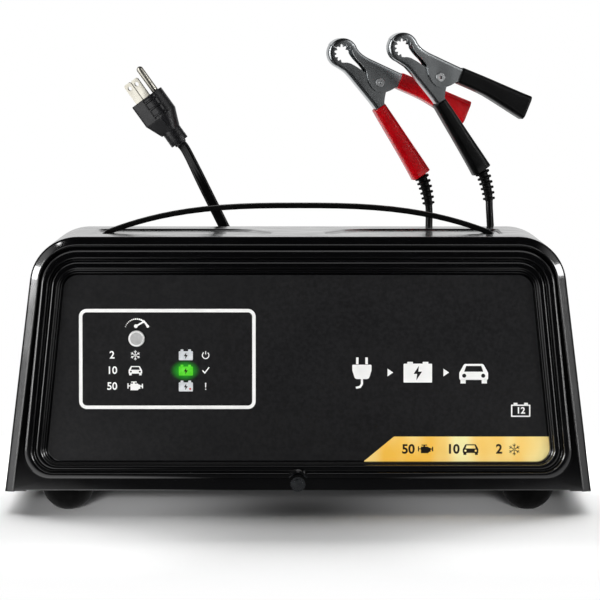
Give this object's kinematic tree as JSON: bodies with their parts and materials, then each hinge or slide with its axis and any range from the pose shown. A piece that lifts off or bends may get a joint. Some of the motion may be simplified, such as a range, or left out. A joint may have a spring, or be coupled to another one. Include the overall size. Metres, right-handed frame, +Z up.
{
  "type": "car battery charger",
  "caption": "Bench car battery charger: black sheet steel case with recessed panel, carrying strap, mains lead with plug, and red and black clamp leads.",
  "frame": {"origin": "centre of the case's footprint on the surface it stands on", "axes": "+X to the right along the case's width, -Y is the front with the control panel, +Z up"},
  "size_m": [0.39, 0.3448, 0.3197],
  "materials": {
    "black_enamel": "glossy black powder enamel on sheet steel",
    "base_enamel": "black enamel, satin",
    "overlay": "printed polycarbonate overlay",
    "zinc": "bright zinc plate",
    "foot_rubber": "moulded rubber",
    "strap_plastic": "moulded nylon, glossy",
    "button_grey": "moulded ABS",
    "switch_black": "moulded housing",
    "lens": "clear acrylic",
    "led": "epoxy lamp",
    "board": "glass epoxy with solder mask",
    "brass": "turned brass",
    "core_steel": "varnished laminations",
    "frame_steel": "zinc plated sheet",
    "bobbin_nylon": "moulded nylon",
    "copper": "enamelled copper wire",
    "sink_alloy": "extruded",
    "wire_grey": "vinyl insulation",
    "wire_red": "vinyl insulation",
    "lead_vinyl": "vinyl jacket",
    "plug_vinyl": "moulded vinyl",
    "pin_brass": "nickel plated brass",
    "jaw_steel": "plated pressed steel",
    "spring_steel": "spring wire",
    "grip_red": "dipped vinyl",
    "grip_black": "dipped vinyl"
  },
  "bodies": {
    "root": {"cover": "black_enamel", "front_panel": "black_enamel", "rear_panel": "black_enamel", "base_pan": "base_enamel", "control_label": "overlay", "front_screw": "zinc", "rear_screws": "zinc", "cover_screws": "zinc", "chassis_screws": "zinc", "foot_front_left": "foot_rubber", "foot_front_right": "foot_rubber", "foot_rear_left": "foot_rubber", "foot_rear_right": "foot_rubber", "foot_screws": "zinc", "rate_switch": "switch_black", "indicator_lenses": "lens", "led_lamps": "led", "control_board": "board", "board_standoffs": "brass", "board_screws": "zinc", "relay": "switch_black", "transformer_core": "core_steel", "transformer_frame": "frame_steel", "bobbin": "bobbin_nylon", "primary_winding": "copper", "secondary_winding": "copper", "heat_sink": "sink_alloy", "rectifier_diodes": "zinc", "circuit_breaker": "switch_black", "mains_wires": "wire_grey", "output_wires": "wire_red", "mains_bush": "lead_vinyl", "clamp_lead_bushes": "lead_vinyl", "ac_drop": "lead_vinyl", "ac_coil": "lead_vinyl", "ac_rise": "lead_vinyl", "plug_body": "plug_vinyl", "plug_pins": "pin_brass", "red_drop": "lead_vinyl", "red_coil": "lead_vinyl", "red_rise": "lead_vinyl", "red_fixed_jaw": "jaw_steel", "red_rivet": "zinc", "red_spring": "spring_steel", "red_fixed_grip": "grip_red", "red_boot": "lead_vinyl", "black_drop": "lead_vinyl", "black_coil": "lead_vinyl", "black_rise": "lead_vinyl", "black_fixed_jaw": "jaw_steel", "black_rivet": "zinc", "black_spring": "spring_steel", "black_fixed_grip": "grip_black", "black_boot": "lead_vinyl"},
    "rate_button": {"rate_button": "button_grey"},
    "strap": {"carrying_strap": "strap_plastic"},
    "red_jaw": {"red_moving_jaw": "jaw_steel", "red_moving_grip": "grip_red"},
    "black_jaw": {"black_moving_jaw": "jaw_steel", "black_moving_grip": "grip_black"}
  },
  "joints": [
    {"name": "strap_lift", "type": "slide", "parent": "root", "child": "strap", "axis": [0, 0, 1], "range_m": [0, 0.004]},
    {"name": "rate_button_press", "type": "slide", "parent": "root", "child": "rate_button", "axis": [0, 1, 0], "range_m": [0, 0.001], "stiffness_N_per_m": 1500},
    {"name": "red_jaw_hinge", "type": "hinge", "parent": "root", "child": "red_jaw", "pos_m": [0.0568, 0.155, 0.2842], "axis": [-0.2419, 0.9703, 0], "range_deg": [0, 26], "stiffness_Nm_per_rad": 0.8, "springref_deg": -20.05},
    {"name": "black_jaw_hinge", "type": "hinge", "parent": "root", "child": "black_jaw", "pos_m": [0.0992, 0.13, 0.2881], "axis": [-0.2419, 0.9703, 0], "range_deg": [0, 26], "stiffness_Nm_per_rad": 0.8, "springref_deg": -20.05}
  ]
}
